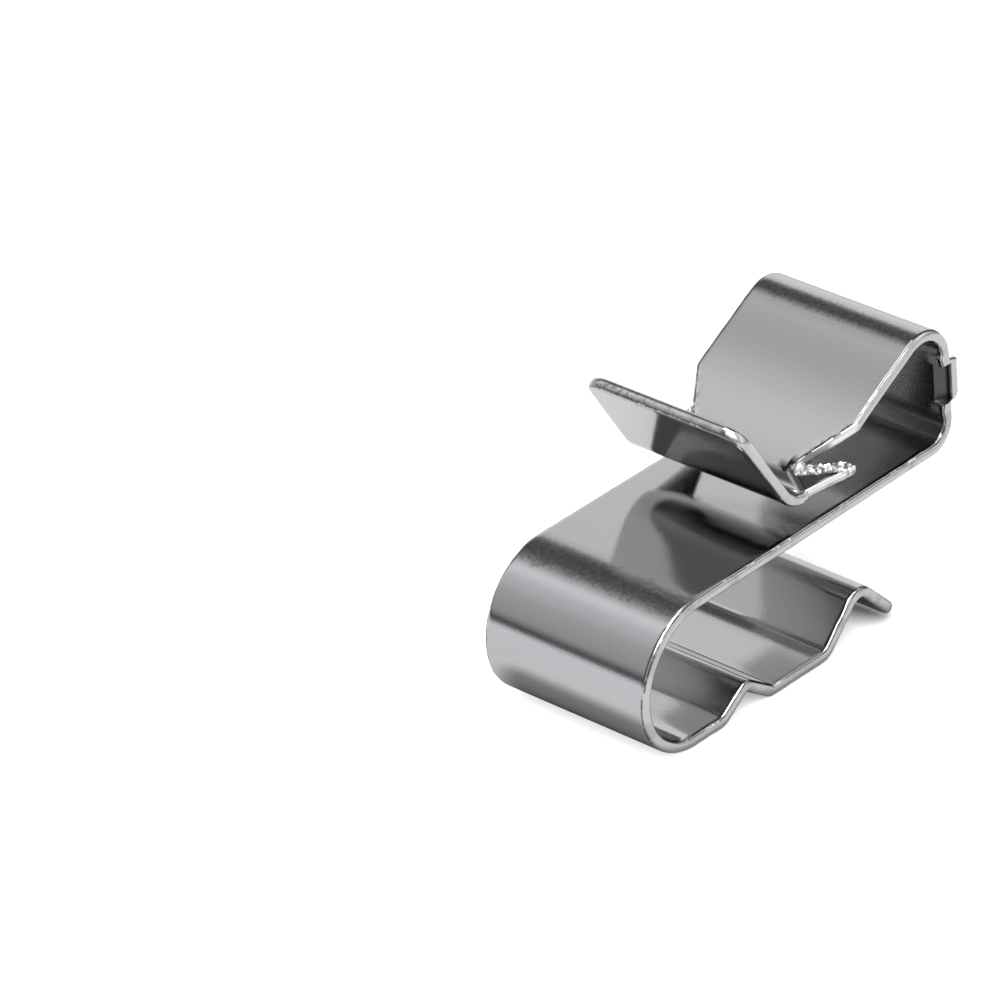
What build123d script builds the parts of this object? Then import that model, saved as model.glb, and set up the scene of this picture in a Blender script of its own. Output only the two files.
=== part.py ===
from build123d import *
import os
from math import cos, radians, sin

os.makedirs("parts", exist_ok=True)

# A spring clip folded from one strip of stainless steel. Its upper half pushes onto the edge of a
# panel frame, where a fold and two corner teeth grip the metal. Its lower half is a round loop and
# a shallow channel, which hold two cables under that edge. Lengths are in millimetres.
# The clip is modelled lying as it rests on a table: X runs along it, Y across the strip and Z up.
# The origin is under its middle, on the surface that it lies on.

# Strip
sheet = 0.8
strip_width = 12.7
clip_length = 31.55

# Loop, ridge, channel and hook, which hold the cables
loop_fold = 4.87
loop_flat = 2.85
ridge_height = 1.6
ridge_rise = 2.15
ridge_fall = 2.6
channel_length = 5.65
hook_height = 3.5
hook_angle = 48
hook_lip_length = 5.35
hook_lip_angle = 41.5

# Web, wall, arm and nose, which grip the frame
web_tilt = 1
wall_lean = 7
grip_reach = 15
grip_gap = 1.75
arm_angle = 31.7
lip_angle = 128
lip_length = 10.2

# Radii of the folds, on the middle line of the sheet
base_fold = 1.6
top_fold = 2.6
nose_fold = 2.6
ridge_foot = 1.1
ridge_fold = 0.55
channel_foot = 0.8
channel_fold = 1.0
hook_fold = 0.8

# Free corners of the two lips
lip_corner = 1.6
hook_corner = 1.2

# Teeth: each is the corner of the arm beside a slanted slit, left pointing back under the arm
slit_start = 6.75
slit_end = 2.5
slit_depth = 2.35
tooth_length = 5.1
tooth_dip = 3
tooth_tip = 0.4
tooth_seat = 0.2

# Tabs: a short length of each edge of the wall, set out by most of the sheet's thickness
tab_height = 2.75
tab_from_web = 2.95
tab_width = 0.9
tab_shift = 0.75
tab_corner = 0.4
tab_seat = 0.1


def heading(angle):
    """Direction in the XZ plane, turned up from +X by an angle in degrees."""
    return Vector(cos(radians(angle)), 0, sin(radians(angle)))


def crossing(start, start_angle, other, other_angle):
    """Point where two lines of the XZ plane meet."""
    along = heading(start_angle)
    across = heading(other_angle + 90)
    return start + along * ((other - start).dot(across) / along.dot(across))


half_sheet = sheet / 2
half_width = strip_width / 2

# Corners of the middle line of the sheet on the cable side, before its folds are rounded
low_level = half_sheet
loop_centre = Vector(half_sheet - clip_length / 2 + loop_fold, 0, low_level + loop_fold)
loop_bottom = loop_centre - Vector(0, 0, loop_fold)
ridge_start = loop_bottom + Vector(loop_flat, 0, 0)
ridge_peak = ridge_start + Vector(ridge_rise, 0, ridge_height)
ridge_end = ridge_start + Vector(ridge_rise + ridge_fall, 0, 0)
channel_end = ridge_end + Vector(channel_length, 0, 0)
hook_top = channel_end + heading(hook_angle) * (hook_height / sin(radians(hook_angle)))
hook_tip = hook_top + heading(-hook_lip_angle) * hook_lip_length

# The web leaves the loop with a slight rise
web_start = loop_centre + heading(90 + web_tilt) * loop_fold


def on_web(x):
    """Point of the web's middle line at a given X."""
    return crossing(web_start, web_tilt, Vector(x, 0, 0), 90)


# The wall stands where the rounded corners of its tabs reach the end of the clip
wall_up = heading(90 + wall_lean)
wall_out = heading(wall_lean)
tab_outside = half_sheet + tab_shift
tab_round = wall_up * (tab_from_web + tab_corner) + wall_out * (tab_outside - tab_corner)
base_corner = on_web(clip_length / 2 - tab_corner - tab_round.X)

# Corners of the gripping side
nose_bottom = on_web(base_corner.X - grip_reach) + Vector(0, 0, sheet + grip_gap)
nose_centre = nose_bottom + Vector(0, 0, nose_fold)
nose_opening = (lip_angle - arm_angle) / 2
nose_corner = nose_centre - heading(arm_angle + nose_opening) * (nose_fold / sin(radians(nose_opening)))
top_corner = crossing(nose_corner, arm_angle, base_corner, 90 + wall_lean)
lip_tip = nose_corner + heading(lip_angle) * lip_length

# Planes along the arm and the wall
arm_plane = Plane(nose_corner, x_dir=heading(arm_angle), z_dir=heading(arm_angle + 90))
wall_plane = Plane(base_corner, x_dir=wall_up, z_dir=wall_out)

with BuildPart() as cable_clip:
    # Strip folded along one line of straight runs and bends
    with BuildSketch(Plane.XZ) as section:
        with BuildLine() as fold_line:
            gripping_side = FilletPolyline(
                [(p.X, p.Z) for p in (lip_tip, nose_corner, top_corner, base_corner, web_start)],
                radius=[nose_fold, top_fold, base_fold],
            )
            loop = TangentArc(gripping_side @ 1, (loop_bottom.X, loop_bottom.Z), tangent=gripping_side % 1)
            cable_side = FilletPolyline(
                [
                    (p.X, p.Z)
                    for p in (
                        loop_bottom,
                        ridge_start,
                        ridge_peak,
                        ridge_end,
                        channel_end,
                        hook_top,
                        hook_tip,
                    )
                ],
                radius=[ridge_foot, ridge_fold, channel_foot, channel_fold, hook_fold],
            )
        trace(line_width=sheet)
    extrude(amount=half_width, both=True)

    # Rounded free corners of the lips
    for tip, corner_radius in ((lip_tip, lip_corner), (hook_tip, hook_corner)):
        for side in (-1, 1):
            corner = tip + Vector(0, side * half_width, 0)
            fillet(cable_clip.edges().sort_by_distance(corner)[0], radius=corner_radius)

    # Slits at the corners of the arm
    with BuildSketch(arm_plane):
        with BuildLine():
            Polyline(
                (arm_plane.to_local_coords(nose_bottom).X, half_width),
                (slit_start, half_width),
                (slit_end, half_width - slit_depth),
                close=True,
            )
        make_face()
        mirror(about=Plane.XZ)
    extrude(amount=sheet, both=True, mode=Mode.SUBTRACT)

    # Teeth, bent down along the line from the bottom of the nose to the end of the slit
    for side in (-1, 1):
        tooth_root = nose_bottom + Vector(0, side * half_width, 0)
        slit_bottom = arm_plane.from_local_coords((slit_end, side * (half_width - slit_depth), 0))
        hinge = slit_bottom - tooth_root
        tooth_plane = Plane(
            tooth_root,
            x_dir=heading(-tooth_dip),
            z_dir=heading(-tooth_dip).cross(hinge),
        )
        hinge_end = tooth_plane.to_local_coords(slit_bottom)
        seat = Vector(-hinge_end.Y, hinge_end.X, 0).normalized() * tooth_seat
        with BuildSketch(tooth_plane):
            with BuildLine():
                Polyline(
                    (0, 0),
                    (tooth_length, 0),
                    (tooth_length, tooth_tip),
                    (hinge_end.X, hinge_end.Y),
                    (hinge_end.X + seat.X, hinge_end.Y + seat.Y),
                    (seat.X, seat.Y),
                    close=True,
                )
            make_face()
        extrude(amount=half_sheet, both=True)

    # Teeth trimmed flush with the edges of the strip
    for edge_plane in (Plane.XZ.offset(half_width), Plane.ZX.offset(half_width)):
        split(bisect_by=edge_plane, keep=Keep.BOTTOM)

    # Tabs, cut from the edges of the wall and set outwards
    tab_middle = tab_from_web + tab_height / 2
    tab_across = half_width - tab_width / 2
    with BuildSketch(wall_plane):
        with Locations((tab_middle, tab_across), (tab_middle, -tab_across)):
            Rectangle(tab_height, tab_width)
    extrude(amount=sheet, both=True, mode=Mode.SUBTRACT)
    with BuildSketch(wall_plane.offset(tab_shift)):
        with Locations((tab_middle, tab_across - tab_seat / 2), (tab_middle, tab_seat / 2 - tab_across)):
            Rectangle(tab_height, tab_width + tab_seat)
    extrude(amount=half_sheet, both=True)
    for side in (-1, 1):
        corner = wall_plane.from_local_coords((tab_from_web, side * tab_across, tab_outside))
        fillet(cable_clip.edges().sort_by_distance(corner)[0], radius=tab_corner)

cable_clip.part.label = "cable_clip"
export_step(cable_clip.part, "parts/cable_clip.step")
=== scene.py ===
# %% [markdown]
# # A folded cable clip in bright sheet steel
#
# The clip is one strip of stainless steel, cut to a blank and folded. This lesson makes it in the
# order of the real work: the flat blank first, then its sheared edges, then the tabs and the folds,
# and last the teeth that are bent down out of its corners. Working flat is simpler, because every
# cut is then a straight cut, and one short function folds all of it at once.

import math

import bpy
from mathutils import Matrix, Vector, kdtree, noise


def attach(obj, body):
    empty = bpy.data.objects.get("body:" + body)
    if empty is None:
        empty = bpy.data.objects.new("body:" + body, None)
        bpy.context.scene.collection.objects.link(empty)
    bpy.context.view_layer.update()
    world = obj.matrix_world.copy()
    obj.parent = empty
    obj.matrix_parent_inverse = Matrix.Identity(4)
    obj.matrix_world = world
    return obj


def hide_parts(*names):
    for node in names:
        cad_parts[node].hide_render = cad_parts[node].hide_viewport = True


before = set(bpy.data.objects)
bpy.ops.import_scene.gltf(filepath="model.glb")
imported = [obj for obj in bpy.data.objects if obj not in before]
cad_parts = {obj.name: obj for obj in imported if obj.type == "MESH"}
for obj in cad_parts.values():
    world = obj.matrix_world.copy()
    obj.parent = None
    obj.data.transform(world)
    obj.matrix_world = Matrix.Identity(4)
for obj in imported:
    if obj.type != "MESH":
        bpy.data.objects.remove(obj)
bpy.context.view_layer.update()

# %% [markdown]
# ## Sizes
#
# The mesh is modelled in millimetres, where one Blender unit stands for one millimetre, and is
# scaled down once at the end. Blender's operators merge points that lie closer than a tenth of a
# millimetre in real units, which would swallow the small radii of this sheet. The sizes repeat
# those of the clip's solid, so that both stay alike. Only the hook's bend is a little rounder, as
# on the real clip.

# %% Sizes of the strip and its folds
MM = 0.001
SHEET = 0.8
STRIP = 12.7
HALF_SHEET = SHEET / 2
HALF_STRIP = STRIP / 2
CLIP_LENGTH = 31.55
GRIP_REACH = 15
GRIP_GAP = 1.75
WEB_TILT = 1
WALL_LEAN = 7
ARM_ANGLE = 31.7
LIP_ANGLE = 128
LIP_LENGTH = 10.2
BASE_FOLD = 1.6
TOP_FOLD = 2.6
NOSE_FOLD = 2.6
LOOP_FOLD = 4.87
LOOP_FLAT = 2.85
RIDGE_RISE = 2.15
RIDGE_FALL = 2.6
RIDGE_HEIGHT = 1.6
CHANNEL_LENGTH = 5.65
HOOK_HEIGHT = 3.5
HOOK_ANGLE = 48
HOOK_LIP_ANGLE = -41.5
HOOK_LIP_LENGTH = 5.35
RIDGE_AND_HOOK_FOLDS = [1.1, 0.55, 0.8, 1.0, 1.2]
print("strip", STRIP, "mm wide and", SHEET, "mm thick")


# %% Directions and crossings
def heading(angle):
    """Direction in the clip's side view, turned up from +X by an angle in degrees."""
    return Vector((math.cos(math.radians(angle)), 0, math.sin(math.radians(angle))))


def crossing(start, start_angle, other, other_angle):
    """Point of the side view where two lines meet."""
    along = heading(start_angle)
    across = heading(other_angle + 90)
    return start + along * ((other - start).dot(across) / along.dot(across))


print("the arm heads along", [round(v, 3) for v in heading(ARM_ANGLE)])

# %% Web, wall and tabs
TAB_HEIGHT = 2.75
TAB_FROM_WEB = 2.95
TAB_OUT = 0.75
TAB_ROUND = 0.4
loop_centre = Vector((HALF_SHEET - CLIP_LENGTH / 2 + LOOP_FOLD, 0, HALF_SHEET + LOOP_FOLD))
web_start = loop_centre + heading(90 + WEB_TILT) * LOOP_FOLD


def on_web(x):
    """Point of the web's middle line at a given X."""
    return crossing(web_start, WEB_TILT, Vector((x, 0, 0)), 90)


# The wall stands where the rounded corners of its tabs reach the end of the clip
wall_up = heading(90 + WALL_LEAN)
wall_out = heading(WALL_LEAN)
tab_round = wall_up * (TAB_FROM_WEB + TAB_ROUND) + wall_out * (HALF_SHEET + TAB_OUT - TAB_ROUND)
base_corner = on_web(CLIP_LENGTH / 2 - TAB_ROUND - tab_round.x)
print("foot of the wall", [round(v, 2) for v in base_corner])

# %% Corners of the gripping side
nose_bottom = on_web(base_corner.x - GRIP_REACH) + Vector((0, 0, SHEET + GRIP_GAP))
nose_centre = nose_bottom + Vector((0, 0, NOSE_FOLD))
nose_opening = (LIP_ANGLE - ARM_ANGLE) / 2
nose_corner = nose_centre - heading(ARM_ANGLE + nose_opening) * (
    NOSE_FOLD / math.sin(math.radians(nose_opening))
)
top_corner = crossing(nose_corner, ARM_ANGLE, base_corner, 90 + WALL_LEAN)
lip_tip = nose_corner + heading(LIP_ANGLE) * LIP_LENGTH
print("lip tip", [round(v, 2) for v in lip_tip])

# %% Corners of the cable side
loop_bottom = loop_centre - Vector((0, 0, LOOP_FOLD))
ridge_start = loop_bottom + Vector((LOOP_FLAT, 0, 0))
ridge_peak = ridge_start + Vector((RIDGE_RISE, 0, RIDGE_HEIGHT))
ridge_end = ridge_start + Vector((RIDGE_RISE + RIDGE_FALL, 0, 0))
channel_end = ridge_end + Vector((CHANNEL_LENGTH, 0, 0))
hook_top = channel_end + heading(HOOK_ANGLE) * (HOOK_HEIGHT / math.sin(math.radians(HOOK_ANGLE)))
hook_tip = hook_top + heading(HOOK_LIP_ANGLE) * HOOK_LIP_LENGTH
print("hook tip", [round(v, 2) for v in hook_tip])

# %% [markdown]
# ## The fold line
#
# A folded strip is a chain of straight runs and round bends. Each link is kept as its length and
# its curvature, so that a point at a given distance along the strip is found with one formula.

# %% Fold line as a chain of runs and bends
chain = []


def turn_between(before, corner, after):
    """Signed angle in radians by which the line turns at a corner, anticlockwise in side view."""
    a = corner - before
    b = after - corner
    return math.atan2(a.x * b.z - a.z * b.x, a.x * b.x + a.z * b.z)


def add_links(corners, radii):
    """Adds the runs and bends of a line through corners, each rounded with its own radius."""
    cut_before = 0
    for i in range(1, len(corners)):
        cut_after = 0
        if i < len(corners) - 1:
            turn = turn_between(corners[i - 1], corners[i], corners[i + 1])
            cut_after = radii[i - 1] * math.tan(abs(turn) / 2)
        run = (corners[i] - corners[i - 1]).length - cut_before - cut_after
        chain.append((run, 0))
        if cut_after:
            chain.append((radii[i - 1] * abs(turn), math.copysign(1 / radii[i - 1], turn)))
        cut_before = cut_after


add_links([lip_tip, nose_corner, top_corner, base_corner, web_start], [NOSE_FOLD, TOP_FOLD, BASE_FOLD])
chain.append((LOOP_FOLD * math.radians(180 - WEB_TILT), 1 / LOOP_FOLD))
add_links(
    [loop_bottom, ridge_start, ridge_peak, ridge_end, channel_end, hook_top, hook_tip],
    RIDGE_AND_HOOK_FOLDS,
)
stations = [0]
for length, curvature in chain:
    stations.append(stations[-1] + length)
blank_length = stations[-1]
print("blank", round(blank_length, 2), "mm long, links:", [round(s, 2) for s in stations])

# %% Links that later steps name
NOSE_LINK, ARM_LINK, TOP_LINK, BASE_LINK, LOOP_LINK = 1, 2, 3, 5, 7
for name, link in (("nose", NOSE_LINK), ("top", TOP_LINK), ("base", BASE_LINK), ("loop", LOOP_LINK)):
    turned = math.degrees(chain[link][0] * chain[link][1])
    print(name, "turns by", round(turned, 1), "degrees from", round(stations[link], 2), "mm")


# %% Place of a point after folding
def fold(along, out):
    """Place in side view of a point of the blank: distance along it and height above its middle."""
    x, z, angle = lip_tip.x, lip_tip.z, math.radians(LIP_ANGLE - 180)
    left = along
    for i, (length, curvature) in enumerate(chain):
        step = left if i == len(chain) - 1 else min(left, length)
        if curvature:
            end_angle = angle + curvature * step
            x += (math.sin(end_angle) - math.sin(angle)) / curvature
            z -= (math.cos(end_angle) - math.cos(angle)) / curvature
            angle = end_angle
        else:
            x += step * math.cos(angle)
            z += step * math.sin(angle)
        left -= step
        if left <= 0:
            break
    return Vector((x - out * math.sin(angle), 0, z + out * math.cos(angle)))


print("folded end", [round(v, 3) for v in fold(blank_length, 0)])

# %% [markdown]
# ## The blank
#
# The blank is what a press stamps out of the coil: one flat strip with rounded corners. It starts
# as a plane of that size. A vertex bevel rounds its free corners, and the lip narrows a little
# towards its tip.


# %% Flat plane of the strip's size
def only(obj):
    """Leaves one object selected and active."""
    if bpy.context.object and bpy.context.object.mode != "OBJECT":
        bpy.ops.object.mode_set(mode="OBJECT")
    bpy.ops.object.select_all(action="DESELECT")
    obj.select_set(True)
    bpy.context.view_layer.objects.active = obj


bpy.ops.object.select_all(action="DESELECT")
bpy.ops.mesh.primitive_plane_add(size=1, location=(blank_length / 2, 0, 0))
clip = bpy.context.object
clip.name = "folded_clip"
only(clip)
bpy.ops.object.mode_set(mode="EDIT")
bpy.ops.transform.resize(value=(blank_length, STRIP, 1))
bpy.ops.object.mode_set(mode="OBJECT")
bpy.ops.object.transform_apply(location=True, rotation=True, scale=True)
print("plane:", [round(v, 2) for v in clip.dimensions], "mm")


# %% Lip taper and free corners
LIP_TAPER = 0.5
LIP_CORNER = 1.6
HOOK_CORNER = 1.2
NEAR = 0.01


def select_verts(obj, test):
    """Selects in edit mode the vertices whose place passes a test."""
    bpy.ops.object.mode_set(mode="OBJECT")
    for polygon in obj.data.polygons:
        polygon.select = False
    for edge in obj.data.edges:
        edge.select = False
    for vert in obj.data.vertices:
        vert.select = bool(test(vert.co))
    bpy.ops.object.mode_set(mode="EDIT")
    bpy.ops.mesh.select_mode(type="VERT")


def cut_all(point, normal):
    """Cuts the whole mesh along one plane."""
    bpy.ops.mesh.select_all(action="SELECT")
    bpy.ops.mesh.bisect(plane_co=point, plane_no=normal, threshold=1e-5)


bpy.ops.object.mode_set(mode="EDIT")
cut_all((stations[NOSE_LINK], 0, 0), (1, 0, 0))
select_verts(clip, lambda p: p.x < NEAR and p.y > 0)
bpy.ops.transform.translate(value=(0, -LIP_TAPER, 0))
for is_corner, radius in (
    (lambda p: p.x < NEAR, LIP_CORNER),
    (lambda p: p.x > blank_length - NEAR, HOOK_CORNER),
):
    select_verts(clip, is_corner)
    bpy.ops.mesh.bevel(affect="VERTICES", offset=radius, segments=10, profile=0.5)
bpy.ops.object.mode_set(mode="OBJECT")
print("outline:", len(clip.data.vertices), "points")

# %% [markdown]
# ## Notches of the teeth
#
# A slanted slit frees each corner of the arm, and the corner is then bent down about a slanted
# line. Bending those few faces of the blank would tear the mesh along the slit. It is simpler to
# cut the whole corner away here, between slit and hinge, and to add it later as a plate.

# %% Slits and tabs on the blank
SLIT_START = 6.75
SLIT_END = 2.5
SLIT_DEPTH = 2.35
slit_line = HALF_STRIP - SLIT_DEPTH
nose_middle = stations[NOSE_LINK] + NOSE_FOLD * math.radians(180 - LIP_ANGLE)
slit_start = stations[ARM_LINK] + SLIT_START - NOSE_FOLD / math.tan(math.radians(nose_opening))
slit_end = slit_start - (SLIT_START - SLIT_END)
base_trim = BASE_FOLD * math.tan(chain[BASE_LINK][0] / BASE_FOLD / 2)
tab_end = stations[BASE_LINK] - (TAB_FROM_WEB - base_trim)
tab_start = tab_end - TAB_HEIGHT
print("slit", round(slit_start, 2), round(slit_end, 2), "tab", round(tab_start, 2), round(tab_end, 2))


# %% Box around each notch
bpy.ops.object.mode_set(mode="EDIT")
for place in (nose_middle, slit_start):
    cut_all((place, 0, 0), (1, 0, 0))
for side in (-1, 1):
    cut_all((0, side * slit_line, 0), (0, 1, 0))
bpy.ops.object.mode_set(mode="OBJECT")
print("before the notches:", len(clip.data.polygons), "faces")


# %% Notches cut away
def select_faces(obj, test):
    """Selects in edit mode the faces whose middle passes a test."""
    bpy.ops.object.mode_set(mode="OBJECT")
    for vert in obj.data.vertices:
        vert.select = False
    for edge in obj.data.edges:
        edge.select = False
    for polygon in obj.data.polygons:
        polygon.select = bool(test(polygon.center))
    bpy.ops.object.mode_set(mode="EDIT")
    bpy.ops.mesh.select_mode(type="FACE")


def cut_faces(test, point, normal):
    """Cuts only the faces whose middle passes a test."""
    select_faces(clip, test)
    bpy.ops.mesh.bisect(plane_co=point, plane_no=Vector(normal).normalized(), threshold=1e-5)


bpy.ops.object.mode_set(mode="EDIT")
for side in (-1, 1):
    edge = side * HALF_STRIP
    inner = side * slit_line

    def beside_slit(p):
        return nose_middle < p.x < slit_start and side * p.y > slit_line

    cut_faces(beside_slit, (nose_middle, edge, 0), (inner - edge, nose_middle - slit_end, 0))
    cut_faces(beside_slit, (slit_start, edge, 0), (inner - edge, slit_start - slit_end, 0))

    def in_notch(p):
        depth = HALF_STRIP - side * p.y
        after_hinge = (p.x - nose_middle) / (slit_end - nose_middle) > depth / SLIT_DEPTH
        before_slit = (slit_start - p.x) / (slit_start - slit_end) > depth / SLIT_DEPTH
        return after_hinge and before_slit

    select_faces(clip, in_notch)
    bpy.ops.mesh.delete(type="FACE")
bpy.ops.object.mode_set(mode="OBJECT")
print("after the notches:", len(clip.data.polygons), "faces")

# %% [markdown]
# ## Thickness
#
# Solidify gives the sheet its thickness and Bevel the rolled edges that a shear leaves. Both are
# applied while the outline is still simple, because on a finer mesh the bevel would turn every
# small step of it. Only then come the rows of cuts where the sheet will bend, and the columns
# that its edges, tabs and wrinkles need.

# %% Thickness and rolled edges
ROLL = 0.32
SHARP = math.radians(50)


def apply_modifier(obj, kind, **settings):
    """Adds a modifier, sets it and applies it."""
    modifier = obj.modifiers.new(kind.title(), kind)
    for name, value in settings.items():
        setattr(modifier, name, value)
    only(obj)
    bpy.ops.object.modifier_apply(modifier=modifier.name)


def roll_edges(obj, width, segments=4, clamp=True):
    """Rounds the sharp edges of a piece."""
    apply_modifier(
        obj,
        "BEVEL",
        width=width,
        segments=segments,
        limit_method="ANGLE",
        angle_limit=SHARP,
        use_clamp_overlap=clamp,
    )


apply_modifier(clip, "SOLIDIFY", thickness=SHEET, offset=0)
roll_edges(clip, ROLL, clamp=False)
print("solid blank:", len(clip.data.polygons), "faces")

# %% Rows of cuts for the folds
BEND_STEP = math.radians(5)
RUN_STEP = 0.6
CUT = 0.03
TAB_ROUND_STEP = 0.08
WRINKLES_START = 9.6
FINE_STEP = 0.2
rows = []
for start, (length, curvature) in zip(stations, chain):
    count = math.ceil(length * abs(curvature) / BEND_STEP) if curvature else math.ceil(length / RUN_STEP)
    rows += [start + length * i / count for i in range(count)]
rows += [tab_start - CUT, tab_start + CUT, tab_end + CUT]
rows += [tab_end - CUT - TAB_ROUND_STEP * i for i in range(6)]
rows += [WRINKLES_START + FINE_STEP * i for i in range(11)]
bpy.ops.object.mode_set(mode="EDIT")
for row in rows[1:]:
    cut_all((row, 0, 0), (1, 0, 0))
bpy.ops.object.mode_set(mode="OBJECT")
print("blank:", len(rows), "rows,", len(clip.data.polygons), "faces")

# %% Columns of cuts along the strip
EDGE_COLUMNS = 13
FIRST_COLUMN = 0.5
columns = [1.0 * i for i in range(-3, 4)]
for side in (-1, 1):
    columns += [side * (HALF_STRIP - FIRST_COLUMN - FINE_STEP * i) for i in range(EDGE_COLUMNS)]
bpy.ops.object.mode_set(mode="EDIT")
for column in columns:
    cut_all((0, column, 0), (0, 1, 0))
bpy.ops.object.mode_set(mode="OBJECT")
print("blank:", len(columns), "columns,", len(clip.data.polygons), "faces")

# %% [markdown]
# ## Sheared edges
#
# A shear leaves no clean edge. It rolls the sheet's upper side in, burnishes the first part of the
# cut and tears the rest, so the edge wanders a little and its rolled part is now wide, now narrow.
# Sculpting could give that, but not twice the same way. Smooth noise moves the points of the flat
# blank instead, before anything is bent. Each kind of damage has its own short function, which
# reads a point's place on the blank and changes where it goes.

# %% Slanted lines of slit and hinge
slit_run = Vector((slit_end - slit_start, SLIT_DEPTH, 0)).normalized()
slit_length = math.hypot(slit_start - slit_end, SLIT_DEPTH)
hinge_line = Vector((slit_end - nose_middle, SLIT_DEPTH, 0)).normalized()
hinge_length = math.hypot(slit_end - nose_middle, SLIT_DEPTH)


def beside(p, corner_x, line):
    """Distance of a point from a slanted line that starts on the strip's edge, and how far along."""
    reach = Vector((p.x - corner_x, HALF_STRIP - abs(p.y), 0))
    return reach.cross(line).z, reach.dot(line)


print("slit", round(slit_length, 2), "mm long, hinge", round(hinge_length, 2), "mm long")

# %% Edges that wander
WANDER = 0.03
FLUTTER = 0.02
ROLL_CHANGE = 0.35


def sway(*place):
    """Smooth noise between -1 and 1."""
    return noise.noise(Vector(place))


def wander_edge(p, moved):
    """Moves the rolled edge in by a little that varies, and makes its roll wider or narrower."""
    side = math.copysign(1, p.y)
    inset = HALF_STRIP - abs(p.y)
    if inset < ROLL + NEAR:
        wander = 0.5 + 0.5 * sway(p.x * 0.7, side * 4, 0)
        flutter = 0.5 + 0.5 * sway(p.x * 2.6, side * 7, p.z)
        width = 1 + ROLL_CHANGE * sway(p.x * 1.1, side * 11, 2 if p.z > 0 else 5)
        moved.y = side * (HALF_STRIP - inset * width - WANDER * wander - FLUTTER * flutter)


print("the edge wanders by up to", WANDER + FLUTTER, "mm")

# %% Torn slits and the bow of the arm
SLIT_TEAR = 0.12
ARM_BOW = 0.09


def tear_slit(p, moved):
    """Tears the face of a slit, most in its middle."""
    off_slit, along_slit = beside(p, slit_start, slit_run)
    if abs(off_slit) < ROLL and 0 < along_slit < slit_length:
        torn = SLIT_TEAR * math.sin(math.pi * along_slit / slit_length)
        moved.x += torn * sway(p.x * 3, p.y * 3, p.z * 4)
        moved.z += 0.5 * torn * sway(p.x * 4, p.y * 4, 9)


def bow_arm(p, moved):
    """Bows the arm, which springs back a little between its two bends."""
    up_arm = (p.x - stations[ARM_LINK]) / chain[ARM_LINK][0]
    if 0 < up_arm < 1:
        moved.z += ARM_BOW * math.sin(math.pi * up_arm) ** 2


print("arm bowed by", ARM_BOW, "mm, slits torn by up to", SLIT_TEAR, "mm")

# %% Wrinkles beside the hinges
WRINKLE = 0.05
WRINKLE_REACH = 1.8


def wrinkle_nose(p, moved):
    """Crumples the upper side of the nose where a tooth was bent away from it."""
    off_hinge, along_hinge = beside(p, nose_middle, hinge_line)
    beside_hinge = 0.05 < off_hinge < WRINKLE_REACH and -0.2 < along_hinge < hinge_length + 0.5
    if beside_hinge and p.z > 0:
        inset = HALF_STRIP - abs(p.y)
        wrinkle = math.sin(off_hinge * 11 + 1.5 * sway(p.x, p.y * 1.5, 3)) * math.exp(-off_hinge / 0.7)
        fade = min(max(inset - ROLL, 0) / 0.4, 1) * min((hinge_length + 0.5 - along_hinge) / 0.8, 1)
        moved.z -= WRINKLE * (wrinkle + 0.6) * fade


print("wrinkles up to", WRINKLE_REACH, "mm from the hinge")

# %% Metal beside the tabs
TAB_TEAR = 0.35
TEAR_REACH = 0.7
DENT = 0.2
DENT_REACH = 0.9
DENT_WIDTH = 1.2


def tear_beside_tab(p, moved):
    """Drags the torn end of the wall along above a tab and dents the wall beside its ends."""
    inset = HALF_STRIP - abs(p.y)
    above = tab_start - p.x
    if 0 < above < TEAR_REACH and inset < DENT_REACH:
        share = (1 - above / TEAR_REACH) * (1 - inset / DENT_REACH)
        moved.x -= TAB_TEAR * share * (p.z + HALF_SHEET) / SHEET
    for end, way in ((tab_start, -1), (tab_end, 1)):
        past = (p.x - end) * way
        if 0 < past < DENT_REACH and inset < DENT_WIDTH and p.z < 0:
            moved.z -= DENT * math.sin(math.pi * past / DENT_REACH) * (1 - inset / DENT_WIDTH)


print("wall dented by up to", DENT, "mm beside the tabs")

# %% Damage applied to the blank
blank_places = [vert.co.copy() for vert in clip.data.vertices]
for vert, p in zip(clip.data.vertices, blank_places):
    moved = p.copy()
    for change in (wander_edge, tear_slit, bow_arm, wrinkle_nose, tear_beside_tab):
        change(p, moved)
    vert.co = moved
furthest = max((vert.co - p).length for vert, p in zip(clip.data.vertices, blank_places))
print("no point moved further than", round(furthest, 3), "mm")

# %% [markdown]
# ## Marks for the finish and the painted light
#
# The finish changes along the strip and at its edges, and shade is painted into its creases. A
# texture could say where, but the strip is easier to describe while it is flat. Four numbers are
# worked out for each point of the blank and stored with the mesh, where the material reads them:
# the distance along the strip, how near the flat of a sheared edge is, how torn the metal is, which
# also paints it brighter, and how much shade is painted into a crease.


# %% Sheared rims
WIDE_RIM = 90
NARROW_RIM = 60
RIM_SWITCH = 7
SLIT_FACE = 0.16
OUTER_TEAR = 0.6
INNER_TEAR = 0.25


def rim_share(p):
    """1 on the flat part of a sheared edge, falling to 0 where its roll meets a face of the sheet.

    The rim is wider on one side of the sheet, and which side changes half way round the loop.
    """
    rise = min(max((abs(p.z) - (HALF_SHEET - ROLL)) / ROLL, 0), 1)
    wide_side = (p.z > 0) == (p.x < stations[LOOP_LINK] + RIM_SWITCH)
    reach = WIDE_RIM if wide_side else NARROW_RIM
    return max(1 - math.degrees(math.asin(rise)) / reach, 0)


def slit_tear(p):
    """How rough the sheared face of a slit is and how much brighter it is painted: more at its outer
    part.
    """
    off_slit, along_slit = beside(p, slit_start, slit_run)
    if abs(off_slit) > SLIT_FACE or not 0 < along_slit < slit_length:
        return 0.0
    return OUTER_TEAR if along_slit < 0.55 * slit_length else INNER_TEAR


print("points on a sheared rim:", sum(rim_share(p) > 0.5 for p in blank_places))
print("points on a torn slit face:", sum(slit_tear(p) > 0 for p in blank_places))
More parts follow.
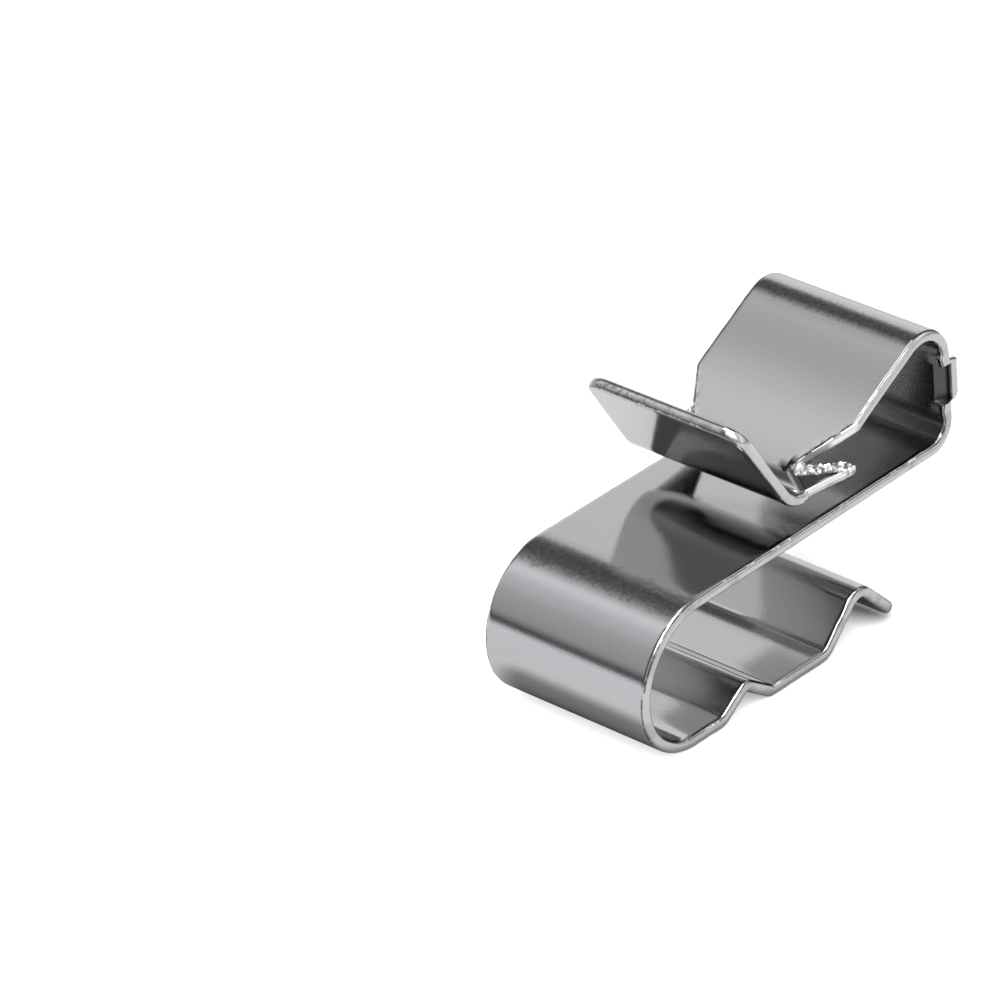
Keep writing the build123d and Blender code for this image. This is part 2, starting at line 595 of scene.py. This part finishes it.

# %% Painted shade in the creases
TAB_SLOPE = 0.95
SLIT_SHADE = 0.55
HINGE_SHADE = 0.5
TAB_SHADE = 0.85
BASE_FOLD_SHADE = 0.5
SHADE_FADE = 0.5


def painted_shade_depth(p):
    """How much shade is painted on a point: along a slit, at a hinge, by a tab or in the base fold."""
    off_slit, along_slit = beside(p, slit_start, slit_run)
    if abs(off_slit) < 0.1 and 0.4 * slit_length < along_slit < slit_length:
        return SLIT_SHADE
    if abs(off_slit) < 0.5 and abs(along_slit - slit_length) < 0.6:
        return 1
    off_hinge, along_hinge = beside(p, nose_middle, hinge_line)
    if abs(off_hinge) < 0.45 and 0 < along_hinge < hinge_length + 0.3 and p.z > 0:
        return HINGE_SHADE
    if p.z > 0:
        return 0
    inset = HALF_STRIP - abs(p.y)
    if tab_start - CUT < p.x < tab_end + CUT and 0.1 < inset < TAB_SLOPE + 0.05:
        return 1 if inset < 0.5 else TAB_SHADE
    into_base = min(p.x - stations[BASE_LINK], stations[BASE_LINK + 1] - p.x) + SHADE_FADE
    return BASE_FOLD_SHADE * min(max(into_base / SHADE_FADE, 0), 1) * float(inset > 0.2)


print("creased points:", sum(painted_shade_depth(p) > 0 for p in blank_places))


# %% Marks of the blank
def add_marks(obj, marks):
    """Stores numbers with the points of a mesh, for its material to read."""
    for name, values in marks.items():
        mark = obj.data.attributes.new(name, "FLOAT", "POINT")
        mark.data.foreach_set("value", values)
        print(obj.name, name, round(min(values), 2), "to", round(max(values), 2))


add_marks(
    clip,
    {
        "along": [p.x for p in blank_places],
        "rim": [rim_share(p) for p in blank_places],
        "torn": [slit_tear(p) for p in blank_places],
        "crease": [painted_shade_depth(p) for p in blank_places],
    },
)

# %% [markdown]
# ## Tabs
#
# A punch pushes a short length of each edge of the wall outwards by almost the thickness of the
# sheet. Its ends are sheared through, and its inner side is drawn down a steep slope. A boolean
# with a small block would need the same care again at every edge. On the flat blank the tab is
# only a step in height, so moving the points of the rows that were cut there makes it.

# %% Tabs
TAB_FLAT = 0.4


def tab_step(p):
    """Height by which a tab lifts a point of the blank."""
    if not tab_start < p.x < tab_end:
        return 0
    share = min(max((abs(p.y) - (HALF_STRIP - TAB_SLOPE)) / (TAB_SLOPE - TAB_FLAT), 0), 1)
    lift = TAB_OUT * share**2 * (3 - 2 * share)
    past = p.x - (tab_end - TAB_ROUND)
    if past > 0 and p.z > 0:
        lift -= TAB_ROUND - math.sqrt(max(TAB_ROUND**2 - past**2, 0))
    return max(lift, 0)


for vert in clip.data.vertices:
    vert.co.z += tab_step(vert.co)
print("highest point of the flat blank:", round(max(vert.co.z for vert in clip.data.vertices), 2), "mm")

# %% [markdown]
# ## Folding
#
# A press folds the real strip bend by bend. A curve modifier could bend the mesh too, but it
# stretches whatever lies off its line unevenly. The formula of the fold line sends each point
# straight to its place and keeps every length along the middle of the sheet.


# %% Folded strip
def face_outwards(obj):
    """Turns all faces of a closed mesh to point outwards."""
    only(obj)
    bpy.ops.object.mode_set(mode="EDIT")
    bpy.ops.mesh.select_all(action="SELECT")
    bpy.ops.mesh.normals_make_consistent(inside=False)
    bpy.ops.object.mode_set(mode="OBJECT")


for vert in clip.data.vertices:
    folded = fold(vert.co.x, vert.co.z)
    vert.co = (folded.x, vert.co.y, folded.z)
face_outwards(clip)
print("folded:", [round(v, 2) for v in clip.dimensions])

# %% [markdown]
# ## Teeth
#
# Each tooth is the corner of the arm that a slanted slit frees. It is bent down about the line from
# the bottom of the nose to the slit's end, so its plane holds that line. The plate is modelled flat
# on the XY plane, with its edges rolled like the strip's, and its inner side is torn: there the
# metal ran up into small grains, with one larger lobe at the slit's end. A cell pattern raises the
# grains as real shapes, because a bump alone would look flat in so bright a metal.

# %% Plane of the near tooth
TOOTH_DIP = 3
slit_bottom = nose_corner + heading(ARM_ANGLE) * SLIT_END + Vector((0, -slit_line, 0))
tooth_root = nose_bottom + Vector((0, -HALF_STRIP, 0))
hinge = slit_bottom - tooth_root
tooth_along = heading(-TOOTH_DIP)
tooth_out = tooth_along.cross(hinge).normalized()
tooth_across = tooth_out.cross(tooth_along)
hinge_end = Vector((hinge.dot(tooth_along), hinge.dot(tooth_across), 0))
print("hinge end", [round(v, 2) for v in hinge_end], "normal", [round(v, 2) for v in tooth_out])

# %% Plate of the near tooth
TOOTH_LENGTH = 5.1
TOOTH_TIP = 0.75
TIP_SLANT = 0.15
TOOTH_SEAT = 0.3
TOOTH_ROLL = 0.3
EDGE_INSET = 0.04
seat = Vector((-hinge_end.y, hinge_end.x, 0)).normalized() * TOOTH_SEAT
plate_corners = {
    (-1, -1): seat + Vector((0, EDGE_INSET, 0)),
    (1, -1): Vector((TOOTH_LENGTH, EDGE_INSET, 0)),
    (1, 1): Vector((TOOTH_LENGTH - TIP_SLANT, EDGE_INSET + TOOTH_TIP, 0)),
    (-1, 1): hinge_end + seat,
}
bpy.ops.object.select_all(action="DESELECT")
bpy.ops.mesh.primitive_plane_add(size=2)
near_tooth = bpy.context.object
near_tooth.name = "near_tooth"
for vert in near_tooth.data.vertices:
    vert.co = plate_corners[(round(vert.co.x), round(vert.co.y))]
apply_modifier(near_tooth, "SOLIDIFY", thickness=SHEET, offset=0)
roll_edges(near_tooth, TOOTH_ROLL)
print("plate:", [round(v, 2) for v in near_tooth.dimensions], "mm")

# %% Fine mesh for the grains
GRAIN_STEP = 0.1
bpy.ops.object.mode_set(mode="EDIT")
for i in range(-6, 52):
    cut_all((GRAIN_STEP * i, 0, 0), (1, 0, 0))
for i in range(1, 28):
    cut_all((0, GRAIN_STEP * i, 0), (0, 1, 0))
bpy.ops.object.mode_set(mode="OBJECT")
tooth_places = [vert.co.copy() for vert in near_tooth.data.vertices]
print("tooth:", len(near_tooth.data.polygons), "faces")

# %% Grains and lobe of the torn side
TORN_WIDTH = 1.1
TORN_FADE = 0.12
inner_corner = plate_corners[(-1, 1)]
inner_run = (plate_corners[(1, 1)] - inner_corner).normalized()
lobe_middle = inner_corner + Vector((0.45, -0.42, 0))


def torn_share(p):
    """1 on the torn strip beside the tooth's inner edge, 0 on the smooth rest."""
    off_edge = -(p - inner_corner).cross(inner_run).z
    border = TORN_WIDTH + TORN_FADE * sway(p.x * 1.6, 0, 0)
    return min(max((border - abs(off_edge)) / TORN_FADE, 0), 1)


def grains(p):
    """Height of the grains of torn metal, between 0 and 1."""
    wobble = 0.4 * sway(p.x * 5, p.y * 5, 8)
    near, far = noise.voronoi(Vector((p.x * 2.6 + wobble, p.y * 3.2 - wobble, 1.5)))[0][:2]
    return min((far - near) * 1.6, 1)


def from_lobe(p):
    """Distance on the plate from the middle of the lobe at the slit's end."""
    return (Vector((p.x, p.y, 0)) - lobe_middle).length


print("lobe", round(from_lobe(inner_corner), 2), "mm from the plate's corner")

# %% Torn metal raised
LOBE = 0.42
LOBE_HEIGHT = 0.5
GRAIN_HEIGHT = 0.22
TORN_SINK = 0.06
TORN_SHIFT = 0.05
for vert, p in zip(near_tooth.data.vertices, tooth_places):
    share = torn_share(p)
    if p.z > 0 and share:
        lobe = math.sqrt(max(1 - (from_lobe(p) / LOBE) ** 2, 0))
        vert.co.z += share * (GRAIN_HEIGHT * grains(p) * (1 - lobe) - TORN_SINK + LOBE_HEIGHT * lobe)
        vert.co.x += share * TORN_SHIFT * sway(p.x * 4, p.y * 4, 0)
print("highest grain", round(max(vert.co.z for vert in near_tooth.data.vertices) - HALF_SHEET, 2), "mm")

# %% Marks of the tooth, with painted shade and a painted highlight
GAP_SHADE = 0.8
RING = 0.15
RING_SHADE = 0.7
SMOOTH_START = 0.45
SMOOTH_SHADE = 0.75
HIGHLIGHT_REACH = 0.34
RIM_HIGHLIGHT = 0.75


def tooth_painted_shade(p):
    """How much shade is painted on a point of the upper side: between grains, around the lobe and on the
    smooth part.
    """
    share = torn_share(p)
    gap = max(1 - grains(p) / 0.4, 0)
    ring = RING_SHADE * float(LOBE < from_lobe(p) < LOBE + RING)
    smooth = SMOOTH_SHADE * float(p.y > EDGE_INSET + SMOOTH_START)
    return max(share * max(gap, ring) * GAP_SHADE, (1 - share) * smooth) * float(p.z > 0)


def tooth_tear_and_highlight(p):
    """How torn a point of the upper side is, which also paints it brighter, with a painted highlight on
    the rim at the strip's edge.
    """
    painted_rim_highlight = RIM_HIGHLIGHT * float(p.y < EDGE_INSET + HIGHLIGHT_REACH)
    return max(torn_share(p), painted_rim_highlight) * float(p.z > 0.12)


add_marks(
    near_tooth,
    {
        "along": [nose_middle + p.x for p in tooth_places],
        "rim": [rim_share(p) for p in tooth_places],
        "torn": [tooth_tear_and_highlight(p) for p in tooth_places],
        "crease": [tooth_painted_shade(p) for p in tooth_places],
    },
)

# %% Near tooth in its place
for vert in near_tooth.data.vertices:
    p = vert.co
    vert.co = tooth_root + tooth_along * p.x + tooth_across * p.y + tooth_out * p.z
face_outwards(near_tooth)
print("tooth tip", [round(v, 2) for v in tooth_root + tooth_along * TOOTH_LENGTH])

# %% [markdown]
# ## Bend at the root of a tooth
#
# The outside of a tight bend is round, with half the sheet as its radius. Two plates that only meet
# in a line would leave a groove there. A short round bar along the hinge line fills it. It starts
# as a cylinder whose rims are bevelled, and its outer end lies flush with the edge of the strip.

# %% Round bar
BEND_RADIUS = HALF_SHEET - 0.02
BEND_SHIFT = 0.2
BEND_CUTS = 12
bend_along = hinge.normalized()
nose_way = Vector((-bend_along.y, bend_along.x, 0)).normalized()
bend_inset = BEND_RADIUS + 0.05
bend_start = tooth_root + nose_way * BEND_SHIFT
bend_start += bend_along * ((bend_inset - BEND_SHIFT * nose_way.y) / bend_along.y)
bend_run = (slit_bottom - bend_start).length
bpy.ops.object.select_all(action="DESELECT")
bpy.ops.mesh.primitive_cylinder_add(vertices=40, radius=BEND_RADIUS, depth=bend_run + BEND_RADIUS)
near_bend = bpy.context.object
near_bend.name = "near_bend"
roll_edges(near_bend, BEND_RADIUS * 0.9, segments=6)
bpy.ops.object.mode_set(mode="EDIT")
for i in range(1, BEND_CUTS):
    cut_all((0, 0, bend_run * (i / BEND_CUTS - 0.5)), (0, 0, 1))
bpy.ops.object.mode_set(mode="OBJECT")
print("bend:", round(bend_run, 2), "mm long")

# %% Bar in its place
bend_side = bend_along.orthogonal().normalized()
bend_up = bend_along.cross(bend_side)
bend_middle = bend_start + bend_along * ((bend_run - BEND_RADIUS) / 2)
for vert in near_bend.data.vertices:
    p = vert.co
    vert.co = bend_middle + bend_side * p.x + bend_up * p.y + bend_along * p.z
face_outwards(near_bend)
bend_insets = [HALF_STRIP + vert.co.y for vert in near_bend.data.vertices]
# Shade is painted on the bar, except at its end by the strip's edge
add_marks(
    near_bend,
    {
        "along": [nose_middle for inset in bend_insets],
        "rim": [min(max(1.15 - inset / 0.3, 0), 1) for inset in bend_insets],
        "torn": [0.0 for inset in bend_insets],
        "crease": [0.3 * float(inset > 0.3) for inset in bend_insets],
    },
)
print("its end lies", round(min(bend_insets), 3), "mm inside the edge")

# %% [markdown]
# ## One closed piece
#
# The clip is the same on both edges, so tooth and bar are mirrored, each copy with its own mesh.
# The real clip is one sheet, so all of it is joined by exact unions into one closed shell. A union
# loses track of the numbers that are stored with the points, so each point of the result gets
# back the numbers of the nearest point before it. A mirror turns faces inside out, and they are
# turned back before the unions.


# %% Copies for the far edge
def mirrored_copy(obj, name):
    """Copies a piece to the other edge of the strip, with its own mesh."""
    copy = obj.copy()
    copy.data = obj.data.copy()
    copy.name = name
    bpy.context.scene.collection.objects.link(copy)
    only(copy)
    bpy.ops.object.mode_set(mode="EDIT")
    bpy.ops.mesh.select_all(action="SELECT")
    bpy.ops.transform.mirror(constraint_axis=(False, True, False), center_override=(0, 0, 0))
    bpy.ops.object.mode_set(mode="OBJECT")
    face_outwards(copy)
    return copy


far_tooth = mirrored_copy(near_tooth, "far_tooth")
far_bend = mirrored_copy(near_bend, "far_bend")
additions = (near_tooth, far_tooth, near_bend, far_bend)
print("added to the strip:", [part.name for part in additions])

# %% Marks of all points before the unions
MARKS = ("along", "rim", "torn", "crease")
marked = []
for part in (clip, *additions):
    lists = [[item.value for item in part.data.attributes[name].data] for name in MARKS]
    marked += [(vert.co.copy(), values) for vert, values in zip(part.data.vertices, zip(*lists))]
nearest = kdtree.KDTree(len(marked))
for i, (place, values) in enumerate(marked):
    nearest.insert(place, i)
nearest.balance()
print("marked points:", len(marked))

# %% Unions
for part in additions:
    apply_modifier(clip, "BOOLEAN", operation="UNION", object=part, solver="EXACT")
    bpy.data.objects.remove(part)
carried = [marked[nearest.find(vert.co)[1]][1] for vert in clip.data.vertices]
for name, values in zip(MARKS, zip(*carried)):
    clip.data.attributes[name].data.foreach_set("value", values)
print("one shell:", len(clip.data.polygons), "faces,", len(carried), "points")

# %% Real size
only(clip)
bpy.ops.transform.resize(value=(MM, MM, MM), center_override=(0, 0, 0))
bpy.ops.object.transform_apply(location=True, rotation=True, scale=True)
bpy.ops.object.shade_smooth_by_angle(angle=math.radians(35))
print("one piece:", [round(v * 1000, 3) for v in clip.dimensions], "mm")

# %% [markdown]
# ## Materials
#
# A material is a tree of nodes. It could be drawn by hand, node by node, but sums of noise and
# masks are easier to read as plain expressions. One small class wraps a node's output, so that
# adding, multiplying or mixing two of them makes the nodes for it.


# %% Wires of a material
class Wire:
    """One output of a shader node, which takes part in plain sums and feeds other nodes."""

    def __init__(self, tree, socket=None):
        self.tree = tree
        self.socket = socket

    def node(self, kind, settings=(), inputs=(), output=0):
        """Adds a node, sets it up, feeds its inputs and returns one of its outputs."""
        new = self.tree.nodes.new("ShaderNode" + kind)
        for name, value in dict(settings).items():
            if name == "stops":
                ramp = new.color_ramp
                # A new ramp already has two stops
                for place, shade in value[2:]:
                    ramp.elements.new(place)
                for element, (place, shade) in zip(ramp.elements, sorted(value)):
                    element.position = place
                    element.color = (shade, shade, shade, 1)
            else:
                setattr(new, name, value)
        for key, value in dict(inputs).items():
            if isinstance(value, Wire):
                self.tree.links.new(value.socket, new.inputs[key])
            else:
                new.inputs[key].default_value = value
        if not new.outputs:
            return new
        return Wire(self.tree, new.outputs[output])

    def blend(self, first, second):
        """Mixes two colours, with this wire as the factor."""
        return self.node("Mix", {"data_type": "RGBA"}, {0: self, 6: first, 7: second}, output=2)

    def math(self, operation, *values):
        """Feeds values into a Math node."""
        return self.node("Math", {"operation": operation}, enumerate(values))

    def __add__(self, other):
        return self.math("ADD", self, other)

    def __sub__(self, other):
        return self.math("SUBTRACT", self, other)

    def __rsub__(self, other):
        return self.math("SUBTRACT", other, self)

    def __mul__(self, other):
        return self.math("MULTIPLY", self, other)

    def __truediv__(self, other):
        return self.math("DIVIDE", self, other)

    __radd__ = __add__
    __rmul__ = __mul__


print("what a wire can do:", [name for name, value in vars(Wire).items() if callable(value)])


# %% Helpers for masks and colours
def new_material(name):
    """Makes an empty node material and returns it with a first wire."""
    material = bpy.data.materials.new(name)
    material.use_nodes = True
    material.node_tree.nodes.clear()
    return material, Wire(material.node_tree)


def step(value, low, high):
    """0 below a low value, 1 above a high one, smooth between."""
    return value.node(
        "MapRange",
        {"interpolation_type": "SMOOTHSTEP"},
        {"Value": value, "From Min": low, "From Max": high},
    )


def grey(level):
    """Colour without any tint."""
    return (level, level, level, 1)


steel, skin = new_material("bright_rolled_steel")
print("new material:", steel.name)

# %% [markdown]
# ## Steel
#
# The strip is cold-rolled stainless steel. Its faces mirror the room almost sharply, and its sheared
# edges are softer and bright. A dark line is painted where the cut rolls over, for the shade that the
# roll would mirror, and shade is painted into the creases. Torn metal is painted brighter than the
# steel. Where the sheet was bent around the loop and over the top, the rolled skin has opened into a
# darker, speckled band. A picture of the surface would have to be stretched around every fold. The
# numbers stored with the points follow the sheet by themselves, and noise on Object coordinates
# breaks their borders.

# %% Marks and noise that the steel reads
MILLIMETRES = 1000


def mark(name):
    """Value that was stored with the mesh."""
    return skin.node("Attribute", {"attribute_name": name}, output="Fac")


def speckle(scale, detail=2):
    """Noise on the piece, with a scale in features per millimetre."""
    place = skin.node("TexCoord", output="Object")
    place = skin.node("Mapping", {}, {"Vector": place, "Scale": [MILLIMETRES] * 3})
    return skin.node("TexNoise", {}, {"Vector": place, "Scale": scale, "Detail": detail})


along, rim, torn, crease = (mark(name) for name in MARKS)
fine = speckle(3.6)
coarse = speckle(0.8)
edge_face = step(rim, 0.02, 0.3)
print("marks read:", MARKS)


# %% Bands where the skin has opened
def band(value, start, full, fading, end):
    """1 between two values, with a soft border on both sides."""
    return step(value, start, full) * (1 - step(value, fading, end))


loop_start = stations[LOOP_LINK]
top_start = stations[TOP_LINK]
ragged = along + (fine - 0.5) * 1.2 + (coarse - 0.5) * 1.0
loop_band = band(ragged, loop_start + 0.05, loop_start + 0.5, loop_start + 1.7, loop_start + 2.4)
top_band = band(ragged, top_start + 0.1, top_start + 0.4, top_start + 1.2, top_start + 1.8)
loop_skin = band(along, loop_start + 1.5, loop_start + 3, loop_start + 7, loop_start + 9)
grit = step(fine, 0.42, 0.62)
print("loop band from", round(loop_start, 1), "mm, top band from", round(top_start, 1), "mm")

# %% Colour of the faces
FACE = (0.45, 0.452, 0.45, 1)
LOOP_FACE = (0.422, 0.432, 0.446, 1)
OPENED_LOOP = (0.235, 0.24, 0.252, 1)
OPENED_TOP = (0.22, 0.224, 0.228, 1)
SPECK = (0.25, 0.25, 0.26, 1)
colour = loop_skin.blend(FACE, LOOP_FACE)
colour = (loop_band * (1 - grit * 0.35)).blend(colour, OPENED_LOOP)
colour = (top_band * grit * 0.5).blend(colour, OPENED_TOP)
specks = step(speckle(6, 3), 0.6, 0.75)
colour = (specks * (loop_skin * 0.2 + 0.05)).blend(colour, SPECK)
print("nodes so far:", len(steel.node_tree.nodes))

# %% Colour of the sheared edges, with painted shade and highlights
EDGE = grey(0.48)
EDGE_STREAK = grey(0.35)
LIP_SPOT = grey(0.12)
PAINTED_OUTLINE_GREY = grey(0.06)
TORN_AND_HIGHLIGHT = grey(0.92)
PAINTED_SHADE_GREY = grey(0.015)
streaks = step(speckle(0.7, 3), 0.5, 0.7)
colour = edge_face.blend(colour, streaks.blend(EDGE, EDGE_STREAK))
across = skin.node("SeparateXYZ", {}, {0: skin.node("TexCoord", output="Object")}, output=1)
lip_end = 1 - step(along, 0.35, 0.6)
lip_spots = lip_end * step(fine, 0.48, 0.6) * (step(across, -0.003, 0.004) * 0.45 + 0.12)
colour = lip_spots.blend(colour, LIP_SPOT)
# A dark line is painted where an edge's roll meets a face, for the shade that the roll would mirror
outline = band(rim, 0.03, 0.12, 0.25, 0.38) * step(fine + coarse, 0.75, 0.95)
colour = (outline * 0.85).blend(colour, PAINTED_OUTLINE_GREY)
# Torn metal is painted brighter than the steel, and the teeth's rims get a painted highlight
colour = torn.blend(colour, TORN_AND_HIGHLIGHT)
# Shade is painted into slits, hinges, tabs, the base fold and the gaps between grains
colour = crease.blend(colour, PAINTED_SHADE_GREY)
print("nodes so far:", len(steel.node_tree.nodes))

# %% Gloss and finished steel
gloss = edge_face * 0.1 + torn * 0.22 + loop_band * 0.12 + crease * 0.3 + coarse * 0.04 + 0.08
waves = skin.node("Bump", {}, {"Height": speckle(7, 3), "Strength": 0.05, "Distance": 0.00005})
shine = skin.node(
    "BsdfPrincipled",
    {},
    {"Base Color": colour, "Metallic": 1.0, "Roughness": gloss, "Normal": waves},
)
skin.node("OutputMaterial", {}, {"Surface": shine})
clip.data.materials.clear()
clip.data.materials.append(steel)
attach(clip, "root")
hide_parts("cable_clip")
print("steel:", len(steel.node_tree.nodes), "nodes")

# %% [markdown]
# ## Floor
#
# The clip lies on white paper under a soft light. Bright metal shows the room more than itself, so
# the floor has two tasks: to look white with a faint shadow, and to be a quiet surface for the
# metal to mirror. More light would make it white too, but would bleach the steel. Light Path tells
# camera rays from the rays that the steel sends on, so each gets its own brightness. Seen by the
# steel, the paper darkens towards the room, and a shadow is painted into it under the clip. Seen by
# the camera it glows a little: most at the loop's end, where the glow paints over the shadow, and
# not at all at the near foot of the hook, where the shadow is painted darker.

# %% Table
bpy.ops.object.select_all(action="DESELECT")
bpy.ops.mesh.primitive_plane_add(size=4, location=(0, 0, 0))
table = bpy.context.object
table.name = "table"
white_paper, paper = new_material("white_paper")
paper_place = paper.node("TexCoord", output="Object")
lengthwise, crosswise = (paper.node("SeparateXYZ", {}, {0: paper_place}, output=i) for i in range(2))
print("table:", [round(v, 2) for v in table.dimensions], "m")


# %% Paper as the steel mirrors it
PATCH_HALF_LENGTH = 0.016
PATCH_HALF_WIDTH = 0.006


def within(value, inner, outer):
    """1 nearer to the middle than the inner distance, 0 beyond the outer one."""
    return 1 - step(value.math("ABSOLUTE", value), inner, outer)


room_edge = paper.node("MapRange", {}, {"Value": lengthwise, "From Min": -0.045, "From Max": -0.1})
# A shadow is painted into the paper under the clip, only where the steel mirrors it
painted_shadow_under_clip = within(lengthwise, PATCH_HALF_LENGTH, 0.0195) * within(crosswise, PATCH_HALF_WIDTH, 0.0085)
mirrored = room_edge.blend(grey(0.8), grey(0.15))
mirrored = (painted_shadow_under_clip * 0.7).blend(mirrored, grey(0.1))
print("dark patch:", 2 * PATCH_HALF_LENGTH, "by", 2 * PATCH_HALF_WIDTH, "m under the clip")

# %% Paper as the camera sees it
seen = paper.node("LightPath")
# More glow is painted at the loop's end to hide its shadow, and none at the hook's near foot to paint
# the shadow darker
painted_light_at_loop_end = 1 - step(lengthwise, -0.022, -0.004)
near_edge = band(crosswise, -0.0078, -0.006, -0.004, 0.0)
painted_shadow_at_hook = within(lengthwise - hook_tip.x * MM, 0.0005, 0.003) * near_edge
glow = seen * (painted_light_at_loop_end * 0.6 + 0.4) * (1 - painted_shadow_at_hook)
matt = paper.node("BsdfDiffuse", {}, {"Color": seen.blend(mirrored, grey(0.95))})
lift = paper.node("Emission", {}, {"Color": grey(1), "Strength": glow})
paper.node("OutputMaterial", {}, {"Surface": paper.node("AddShader", {}, {0: matt, 1: lift})})
table.data.materials.append(white_paper)
print("paper:", len(white_paper.node_tree.nodes), "nodes")

# %% [markdown]
# ## Room
#
# What gives the steel its look is the room around it: soft boxes, dark gaps between them and the
# dim end of the studio. Card and cloth could stand around the clip as meshes, but bands in the
# world do the same and never get in the camera's way. The clip is folded about one axis, so the
# bands run along that axis, each at its own angle in the side view. The near and the far half of
# the room have their own bands, and overhead between them it is dark.

# %% Bands of the room
BACK_GLOWS = [
    (-180, 0.1),
    (180, 0.12),
    (-4, 0.6),
    (6, 0.9),
    (26, 0.9),
    (38, 0.84),
    (44, 0.45),
    (51, 0.19),
    (60, 0.13),
    (76, 0.13),
    (84, 0.3),
    (92, 0.52),
    (96, 0.72),
    (99.6, 0.84),
    (103, 1.0),
    (110, 0.98),
    (120, 0.78),
    (128, 0.72),
    (136, 0.64),
    (144, 0.56),
    (158, 0.51),
    (170, 0.45),
    (176, 0.26),
]
FRONT_GLOWS = [
    (-180, 0.5),
    (180, 0.5),
    (-6, 0.2),
    (4, 0.25),
    (12, 0.7),
    (30, 0.8),
    (36, 1.35),
    (50, 1.35),
    (60, 0.8),
    (120, 0.8),
]
CROWN_GLOW = 0.1
print("bands:", len(BACK_GLOWS), "behind and", len(FRONT_GLOWS), "in front")

# %% World
TENT_STRENGTH = 1.25
world = bpy.data.worlds.new("studio")
bpy.context.scene.world = world
world.use_nodes = True
world.node_tree.nodes.clear()
room = Wire(world.node_tree)
direction = room.node("TexCoord", output="Generated")
right, far, up = (room.node("SeparateXYZ", {}, {0: direction}, output=i) for i in range(3))
turn = up.math("ARCTAN2", up, right) / math.tau + 0.5


def glows(pairs):
    """Colour ramp around the clip, from pairs of an angle turned up from +X and a brightness."""
    stops = [(angle / 360 + 0.5, level) for angle, level in pairs]
    return room.node("ValToRGB", {"stops": stops}, {0: turn})


glow = step(far, -0.14, -0.02).blend(glows(FRONT_GLOWS), grey(CROWN_GLOW))
glow = step(far, 0.28, 0.46).blend(glow, glows(BACK_GLOWS))
tent = room.node("Background", {}, {"Color": glow, "Strength": TENT_STRENGTH})
white = room.node("Background", {}, {"Color": grey(1), "Strength": 1.0})
sky = room.node("MixShader", {}, {0: room.node("LightPath"), 1: tent, 2: white})
room.node("OutputWorld", {}, {"Surface": sky})
print("world:", len(world.node_tree.nodes), "nodes")

# %% [markdown]
# ## Lamps
#
# Large soft boxes light a catalogue picture. Point lamps would draw a hard shadow on the paper. Two
# square area lamps give it its soft one and the edges their shine. They stay weak, because the
# room already lights the steel.

# %% Soft boxes
LAMP_SIZE = 0.3
for name, place, power in (
    ("overhead_softbox", (0, 0, 0.5), 1.1),
    ("left_softbox", (-0.22, -0.2, 0.4), 1.4),
):
    lamp = bpy.data.lights.new(name, "AREA")
    lamp.shape = "SQUARE"
    lamp.size = LAMP_SIZE
    lamp.energy = power
    lamp_object = bpy.data.objects.new(name, lamp)
    bpy.context.scene.collection.objects.link(lamp_object)
    lamp_object.location = place
    lamp_object.rotation_euler = lamp_object.location.to_track_quat("Z", "Y").to_euler()
    print(name, power, "W")

# %% [markdown]
# ## Camera
#
# The camera looks at the clip as the photo does: from in front and from the left, half way up, and
# from so far away that the folds stay almost parallel. It aims left of the clip, because the clip
# lies right of the picture's middle.

# %% Camera
IMAGE_WIDTH = 1001
FOCAL_PIXELS = 6000
SENSOR = 36
VIEW_AZIMUTH = math.radians(-50)
VIEW_HEIGHT = math.radians(29.3)
VIEW_DISTANCE = 0.353
VIEW_AIM = Vector((-0.02166, 0, 0.01978))
camera_data = bpy.data.cameras.new("camera")
camera_data.sensor_width = SENSOR
camera_data.lens = SENSOR * FOCAL_PIXELS / IMAGE_WIDTH
camera_data.clip_start = 0.01
camera = bpy.data.objects.new("camera", camera_data)
bpy.context.scene.collection.objects.link(camera)
back = Vector(
    (
        math.sin(VIEW_AZIMUTH) * math.cos(VIEW_HEIGHT),
        -math.cos(VIEW_AZIMUTH) * math.cos(VIEW_HEIGHT),
        math.sin(VIEW_HEIGHT),
    )
)
camera.location = VIEW_AIM + back * VIEW_DISTANCE
camera.rotation_euler = back.to_track_quat("Z", "Y").to_euler()
bpy.context.scene.camera = camera
bpy.context.scene.view_settings.view_transform = "Standard"
print("camera at", [round(v, 3) for v in camera.location], "m")

# %% [markdown]
# ## The box of the solid
#
# The clip has to fill the box of its solid and stay inside it, because other parts are placed by
# that box.
